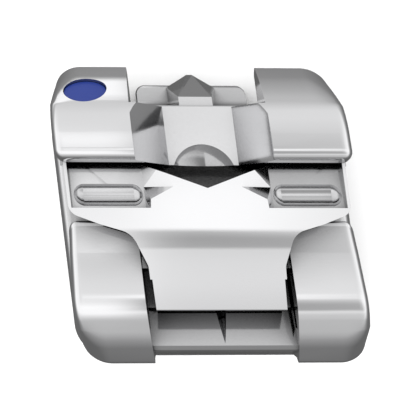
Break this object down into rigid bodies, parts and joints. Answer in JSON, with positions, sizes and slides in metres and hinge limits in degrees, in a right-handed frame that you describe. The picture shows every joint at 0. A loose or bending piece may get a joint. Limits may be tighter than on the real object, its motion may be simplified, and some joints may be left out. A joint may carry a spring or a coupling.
{
  "type": "orthodontic bracket",
  "caption": "Self-ligating orthodontic bracket with tie-wings, a covered archwire slot and a sliding door held by a spring pin.",
  "frame": {"origin": "middle of the bonding base's own box, on its bonding face", "axes": "+Z away from the tooth, +Y towards the gum, +X across the tooth, to the right as the picture shows it"},
  "size_m": [0.0036, 0.0032, 0.0019],
  "materials": {
    "body_steel": "polished stainless steel",
    "slide_steel": "polished stainless steel",
    "spring_alloy": "drawn nickel-titanium tube",
    "blue_fill": "cured blue paint in a dimple"
  },
  "bodies": {
    "body": {"bracket_body": "body_steel", "spring_pin": "spring_alloy", "orientation_dot": "blue_fill"},
    "door": {"slide": "slide_steel"}
  },
  "joints": [
    {"name": "door_slide", "type": "slide", "parent": "body", "child": "door", "axis": [0.1257, -0.9824, 0.1381], "range_m": [0, 0.0006]}
  ]
}
